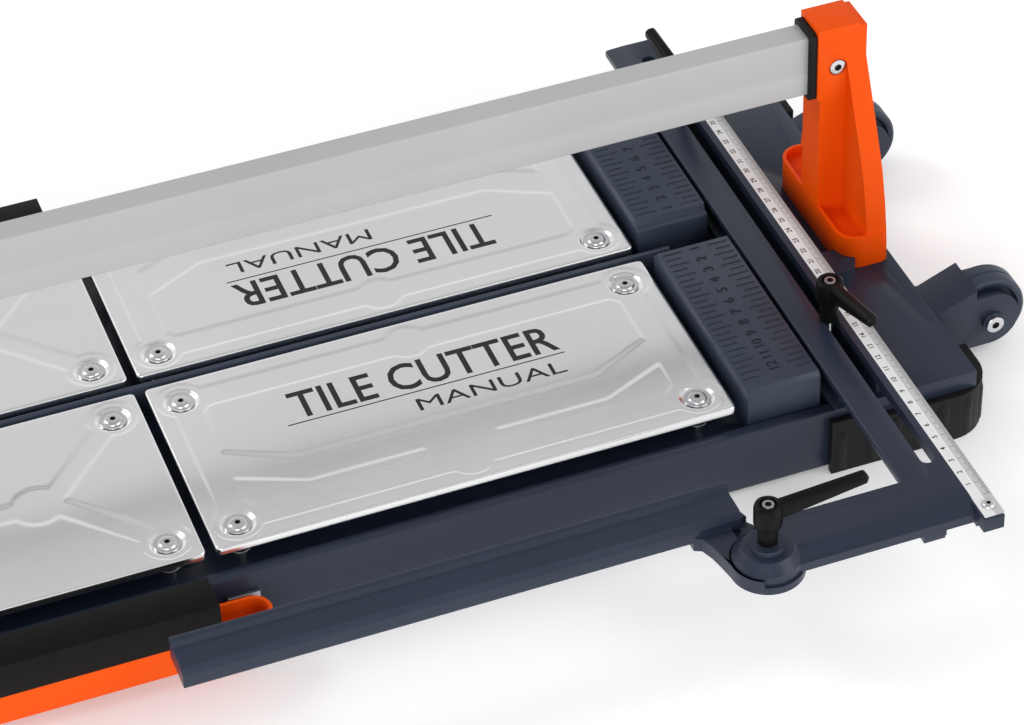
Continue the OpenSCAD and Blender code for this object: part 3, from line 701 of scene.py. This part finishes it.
def plate_springs():
    """A coil of wire round each screw, four to a plate."""
    wire, reach, low, high, turns, travel = 0.65, 5.5, 34.05, 50.4, 5, 3
    for side in ROWS:
        for number in NUMBERS:
            plate = f"plate_{side}_{number}"
            coils = []
            for x, y in screw_spots(side, number):
                bpy.ops.object.select_all(action="DESELECT")
                bpy.ops.mesh.primitive_circle_add(vertices=6, radius=wire * MM, fill_type="NOTHING",
                                                  location=(reach * MM, 0, (low + wire) * MM),
                                                  rotation=(math.pi / 2, 0, 0))
                coil = settle(bpy.context.object)
                modify(coil, "SCREW", axis="Z", screw_offset=(high - low - 2 * wire) / turns * MM,
                       iterations=turns, steps=16, render_steps=16, use_merge_vertices=False)
                bpy.ops.object.mode_set(mode="EDIT")
                bpy.ops.mesh.select_mode(type="EDGE")
                bpy.ops.mesh.select_all(action="DESELECT")
                bpy.ops.mesh.select_non_manifold()
                bpy.ops.mesh.edge_face_add()
                bpy.ops.object.mode_set(mode="OBJECT")
                coils.append(aim(outward(coil), (x, y, 0)))
            made = smooth(joined(plate + "_springs", coils), 70)
            fit(made, "base", SPRING, "steel_bright", "table_springs")
            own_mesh(made)


WHEEL_X, WHEEL_Z, WHEEL_MID_Y = 766, 25.7, 86


def other_screws():
    """Post, rail, wheel, ruler and hinge bolts, each kind made once and stood at its places."""
    bolt = socket_head("foot_bolt", [(2.9, -14), (2.9, 0), (4.9, 0), (5, 0.4), (5, 4.3), (4.6, 4.9),
                                     (2.9, 4.9)], 2.4, 2.6)
    spots = [(side * 712, y, 37.95) for side in (1, -1) for y in (-36, 36)]
    bolts = spread(bolt, "post_foot_bolts", spots, (0, 0, -1))
    fit(bolts, "base", ZINC, "steel_bright", "post_bolts")

    bolt = socket_head("rail_bolt", [(2.8, -8), (2.8, 0), (4.7, 0), (4.95, 0.3), (4.95, 2.0),
                                     (4.5, 2.7), (3.1, 2.9)], 2.3, 1.9)
    spots = [(side * 708, -9.4, 158) for side in (1, -1)]
    bolts = spread(bolt, "post_head_bolts", spots, (0, -1, 0))
    fit(bolts, "base", ZINC, "steel_bright", "rail_screws")

    bolt = socket_head("wheel_axle_bolt", [(3.9, -31), (3.9, 0), (5.0, 0), (5.2, 0.4), (5.2, 2.1),
                                           (4.7, 2.5), (3.2, 2.5)], 2.4, 1.7)
    near = aim(twin(bolt), (WHEEL_X, -WHEEL_MID_Y - 17, WHEEL_Z), (0, -1, 0))
    far = aim(bolt, (WHEEL_X, WHEEL_MID_Y + 17, WHEEL_Z), (0, 1, 0))
    fit(joined("wheel_axle_bolts", [near, far]), "base", ZINC, "steel_bright", "wheel_bolts")

    screw = socket_head("ruler_screw", [(1.95, -7), (1.95, 0), (3.5, 0), (3.6, 0.3), (3.2, 1.2),
                                        (2.2, 1.75), (1.9, 1.75)], 1.3, 1.0, 24)
    low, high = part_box("ruler_screws")
    spots = [(676.5, y, 64.03) for y in (low.y / MM + 3.6, high.y / MM - 3.6)]
    screws = spread(screw, "ruler_screw_pair", spots)
    fit(screws, "fence", ZINC, "steel_bright", "ruler_screws")

    bolt = socket_head("support_bolt", [(3.9, -8), (3.9, 0), (6.2, 0), (6.5, 0.5), (6.5, 4.6),
                                        (5.9, 5.4), (3.4, 5.4)], 2.6, 3.0)
    spots = [(side_x * 309, side_y * 172, 17.2) for side_x in (1, -1) for side_y in (1, -1)]
    bolts = spread(bolt, "support_hinge_bolts", spots)
    fit(bolts, "base", ZINC, "steel_bright", "support_bolts")


table_screws()
plate_springs()
other_screws()


# ---- clamp levers ----------------------------------------------------------------------------
FENCE_SEAT, ARM_SEAT = 64.15, 69.15     # height of the washers under the levers
GRIP_TOP, GRIP_RISE = 4.6, 6.5          # top of a lever's grip at its root, and its slope in degrees
CLAMPS = (("clamp_lever_near", (663, -105, FENCE_SEAT), -82, 42, 27),
          ("clamp_lever_far", (663, 105, FENCE_SEAT), 94, 42, 27),
          ("arm_clamp_lever", (559, -260, ARM_SEAT), -2, 52.5, 25.5))


def lever(name, reach, tall):
    """A ratchet lever: hub on a narrower neck, socket screw in its top, handle that rises."""
    hub = turned(name + "_hub", [(5.2, 0.0), (5.2, tall - 15.6), (7.0, tall - 14.4),
                                 (7.55, tall - 12.6), (7.6, tall - 3.2), (7.2, tall - 1.2),
                                 (6.1, tall - 0.2), (4.5, tall), (4.1, tall - 1.0),
                                 (4.1, tall - 2.4), (1.0, tall - 2.6)], 36)
    cap = socket_head(name + "_cap", [(3.5, tall - 2.9), (3.5, tall - 0.9), (3.1, tall - 0.4),
                                      (2.6, tall - 0.4)], 1.9, 1.6, 24, SPRING)
    grip = block(name + "_grip", (4.5, -3.6, -6.6), (reach, 3.6, GRIP_TOP))
    choose(grip)
    bpy.ops.object.mode_set(mode="EDIT")
    bpy.ops.mesh.select_mode(type="FACE")
    bpy.ops.mesh.select_all(action="DESELECT")
    bpy.ops.object.mode_set(mode="OBJECT")
    for face in grip.data.polygons:
        face.select = face.normal.x > 0.9
    bpy.ops.object.mode_set(mode="EDIT")
    bpy.ops.transform.resize(value=(1, 0.92, 0.64), center_override=(reach * MM, 0, GRIP_TOP * MM))
    bpy.ops.mesh.extrude_region_move(TRANSFORM_OT_translate={"value": (2.2 * MM, 0, -0.6 * MM)})
    bpy.ops.transform.resize(value=(1, 0.9, 0.6), center_override=(reach * MM, 0, 1.2 * MM))
    bpy.ops.object.mode_set(mode="OBJECT")
    soften(grip, 1.7, 1, 40)
    soften(grip, 0.3, 2, 25)
    grip.matrix_world = (Matrix.Translation((0, 0, (tall - 5.3) * MM))
                         @ Matrix.Rotation(math.radians(-GRIP_RISE), 4, "Y"))
    settle(grip)
    for piece in (hub, grip):
        smooth(piece, 30)
    return joined(name, [hub, grip]), cap


def clamp_levers():
    for node, at, turn, reach, tall in CLAMPS:
        handle, cap = lever(node + "_handle", reach, tall)
        for piece, finish, slot in ((handle, BLACK, "black_plastic"), (cap, None, "steel_bright")):
            aim(piece, at, (0, 0, 1), turn)
            fit(piece, BODY[node], finish, slot)
        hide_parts(node)
        cap.name = node + "_screw"


clamp_levers()


# ---- rubber feet -----------------------------------------------------------------------------
FOOT_X, FOOT_Y, FOOT_R = 717, 134, 19.2     # centre and radius of the round corner of a foot
STRAIGHT_RIBS = (647.8, 667, 681, 695, 709)
ROUND_RIBS = (18, 52, 84)                   # degrees round the corner


def rubber_feet():
    """Corner feet with upright ribs round the outside, and the pad under the middle."""
    body = skin("rubber_feet", 1.3, 3)
    rib = turned("foot_rib", [(3.0, 1.0), (5.6, 3.4), (5.8, 24.0), (5.0, 28.0), (2.0, 29.5)], 16)
    ribs = []
    spots = [(x, -153.9) for x in STRAIGHT_RIBS]
    spots += [(FOOT_X + FOOT_R * math.sin(a), -FOOT_Y - FOOT_R * math.cos(a))
              for a in np.radians(ROUND_RIBS)]
    for x, y in spots:
        for side_x in (1, -1):
            for side_y in (1, -1):
                ribs.append(aim(twin(rib), (side_x * x, side_y * y, 0)))
    bpy.data.objects.remove(rib)
    made = joined("rubber_foot_set", [body] + ribs)
    fit(smooth(made, 40), "base", RUBBER, "rubber_black", "rubber_feet")


rubber_feet()


# ---- transport wheels ------------------------------------------------------------------------
def transport_wheels():
    """Dished wheels with a shallow groove round the tread."""
    profile = [(5.2, -8.5), (8.0, -8.5), (8.6, -4.6), (17.6, -4.2), (19.4, -8.0), (21.4, -8.5),
               (22.9, -7.6), (23.5, -6.0), (23.5, -0.8), (22.8, -0.4), (22.8, 0.4), (23.5, 0.8),
               (23.5, 6.0), (22.9, 7.6), (21.4, 8.5), (19.4, 8.0), (17.6, 4.2), (8.6, 4.6),
               (8.0, 8.5), (5.2, 8.5)]
    wheel = turned("wheel", profile, 64)
    cut(wheel, rod("bore", 4.05, -12, 12, 40))
    for side, y in (("near", -WHEEL_MID_Y), ("far", WHEEL_MID_Y)):
        made = aim(twin(wheel, f"wheel_{side}_tread"), (WHEEL_X, y, WHEEL_Z), (0, 1, 0))
        fit(smooth(made, 35), "wheel_" + side, NAVY_MOULDING, "navy_plastic", "wheel_" + side)
    bpy.data.objects.remove(wheel)


transport_wheels()


# ---- carriage --------------------------------------------------------------------------------
HANDLE_LEAN, HANDLE_PIVOT = 35, (-420, 0, 112)
GRIP_START = 138 + 270 - 118    # along the handle: tube start, tube length, less the sleeved part


def guide_rollers():
    """Grooved rollers on the carriage's axles."""
    profile = [(4.6, -6), (8.4, -6), (9, -5.4), (9, -2.2), (8.5, -1.8), (8.5, 1.8), (9, 2.2),
               (9, 5.4), (8.4, 6), (4.6, 6)]
    for place in ("rear", "front", "top"):
        node = "guide_roller_" + place
        low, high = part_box(node)
        roller = turned(node + "_ring", profile, 40)
        cut(roller, rod("bore", 3.05, -8, 8, 32))
        aim(roller, (low + high) / 2 / MM, (0, 1, 0))
        fit(smooth(roller, 35), BODY[node], ZINC, SLOT[node], node)


def handle_grip():
    """A ribbed rubber grip with a flange at the hand end of the tube."""
    profile = [(9.05, 0), (16.3, 0), (17, 1.2), (17, 4.8), (16.0, 6), (13.4, 8.5)]
    for ring in range(14):
        base = 11 + ring * 7
        profile += [(12.7, base), (13.7, base + 1.2), (13.9, base + 3.4), (13.7, base + 5.4),
                    (12.7, base + 6.6)]
    profile += [(13.4, 111), (13.9, 116), (13.7, 124), (12.4, 128.2), (9.5, 129.7), (5, 130)]
    grip = turned("handle_grip_rubber", profile, 40)
    cut(grip, rod("bore", 9.0, -2, 122.5, 40))
    lean = math.radians(HANDLE_LEAN)
    axis = Vector((-math.cos(lean), 0, math.sin(lean)))
    aim(grip, Vector(HANDLE_PIVOT) + axis * GRIP_START, axis)
    fit(smooth(grip, 45), "handle", GRIP, "black_plastic", "handle_grip")


guide_rollers()
handle_grip()


# ---- ruler and scales ------------------------------------------------------------------------
def printed(name, text, size, at, turn, depth, bold=0.0):
    """Flat characters cut from thin sheet, laid at a place and turned about Z."""
    bpy.ops.object.select_all(action="DESELECT")
    bpy.ops.object.text_add(location=(0, 0, 0))
    made = bpy.context.object
    made.name = name
    made.data.body = text
    made.data.size = size * MM
    made.data.align_x = "CENTER"
    made.data.align_y = "CENTER"
    made.data.extrude = depth * MM
    made.data.offset = bold * MM
    made.data.resolution_u = 3
    bpy.ops.object.convert(target="MESH")
    made = bpy.context.object
    made.matrix_world = (Matrix.Translation(Vector(at) * MM)
                         @ Matrix.Rotation(math.radians(turn), 4, "Z"))
    return settle(made)


SCALE_TOP = 64.0                            # top of the ruler strip and of the scale blocks
RULER_ZERO, RULER_EDGE, RULER_LONG = -265.7, 681.9, 396
BLOCK_LEFT, BLOCK_RIGHT = 599.5, 638.6      # where the two rows of block ticks begin


def ruler():
    """The painted strip with a tick each millimetre and a number each centimetre."""
    dress("ruler_strip", RULER, 0.15)
    marks = []
    for tick in range(0, RULER_LONG):
        y = RULER_ZERO + tick
        reach = 4.4 if tick % 10 == 0 else (3.4 if tick % 5 == 0 else 2.2)
        marks.append(block("tick", (RULER_EDGE - reach, y - 0.11, SCALE_TOP - 0.02),
                           (RULER_EDGE, y + 0.11, SCALE_TOP + 0.03)))
    ticks = joined("ruler_ticks", marks)
    numbers = [printed("number", str(cm), 4.2, (674.0, RULER_ZERO + cm * 10, SCALE_TOP + 0.005),
                       90, 0.03, bold=0.06) for cm in range(1, 40)]
    digits = joined("ruler_numbers", numbers)
    made = joined("ruler_print", [ticks, digits])
    fit(made, "fence", INK, "ruler_face")


def block_scales():
    """Raised ticks along both sides of each scale block, with numbers between them."""
    low, high, half = SCALE_TOP - 0.3, SCALE_TOP + 0.28, 0.4
    for side, sign in (("near", -1), ("far", 1)):
        marks = []
        for tick in range(4, 28):
            y = sign * tick * 5
            reach = 12.0 if tick % 2 == 0 else 9.0
            for start, end in ((BLOCK_LEFT, BLOCK_LEFT + reach), (BLOCK_RIGHT - reach, BLOCK_RIGHT)):
                marks.append(block("tick", (start, y - half, low), (end, y + half, high), 0.2, 1))
        for number in range(1, 13):
            y = sign * (10 + number * 10)
            marks.append(printed("number", str(number), 8.6, (619, y, SCALE_TOP - 0.02), 90, 0.3))
        made = joined(f"scale_marks_{side}", marks)
        fit(made, "base", SCALE_MARK, "navy_plastic")


def stretched(piece, low, high):
    """Fits flat characters exactly between two corners in the plane."""
    seen = piece.bound_box
    left, right = min(c[0] for c in seen), max(c[0] for c in seen)
    front, back = min(c[1] for c in seen), max(c[1] for c in seen)
    wide = (high[0] - low[0]) * MM / (right - left)
    deep = (high[1] - low[1]) * MM / (back - front)
    piece.scale = (wide, deep, 1)
    piece.location = (low[0] * MM - left * wide, low[1] * MM - front * deep, 0)
    return settle(piece)


def plate_print():
    """Plain words and a rule on the end plates, read from each long side."""
    for side, turn in (("near", 0), ("far", 180)):
        low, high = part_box(f"plate_{side}_1")
        centre = (low + high) / 2 / MM
        left, rib = -PLATE_L / 2, PLATE_W / 2
        words = stretched(printed("word", "TILE CUTTER", 20, (0, 0, 0), 0, 0.03, bold=0.25),
                          (left + 70, rib - 56), (left + 222, rib - 33.5))
        small = stretched(printed("word", "MANUAL", 20, (0, 0, 0), 0, 0.03),
                          (left + 134, rib - 75), (left + 219, rib - 65))
        rule = block("rule", (left + 64, rib - 59.4, -0.02), (left + 223, rib - 58.6, 0.03))
        made = joined(f"plate_print_{side}", [words, small, rule])
        made.matrix_world = (Matrix.Translation(Vector((centre.x, centre.y, TABLE_Z)) * MM)
                             @ Matrix.Rotation(math.radians(turn), 4, "Z"))
        fit(settle(made), f"plate_{side}_1", INK, "black_plastic")


NECK_TOP = 58.53                            # just over the top of the swing arm's neck


def arm_index():
    """The pointer line and its dot on the neck of the swing arm."""
    line = block("line", (553.9, -238, 0), (555.1, -231.5, 0.03))
    dot = block("dot", (553.4, -241.5, 0), (554.9, -240.2, 0.03))
    made = joined("arm_index", [line, dot])
    made.location.z = NECK_TOP * MM
    fit(settle(made), "arm", INK, "black_plastic")


ruler()
block_scales()
plate_print()
arm_index()
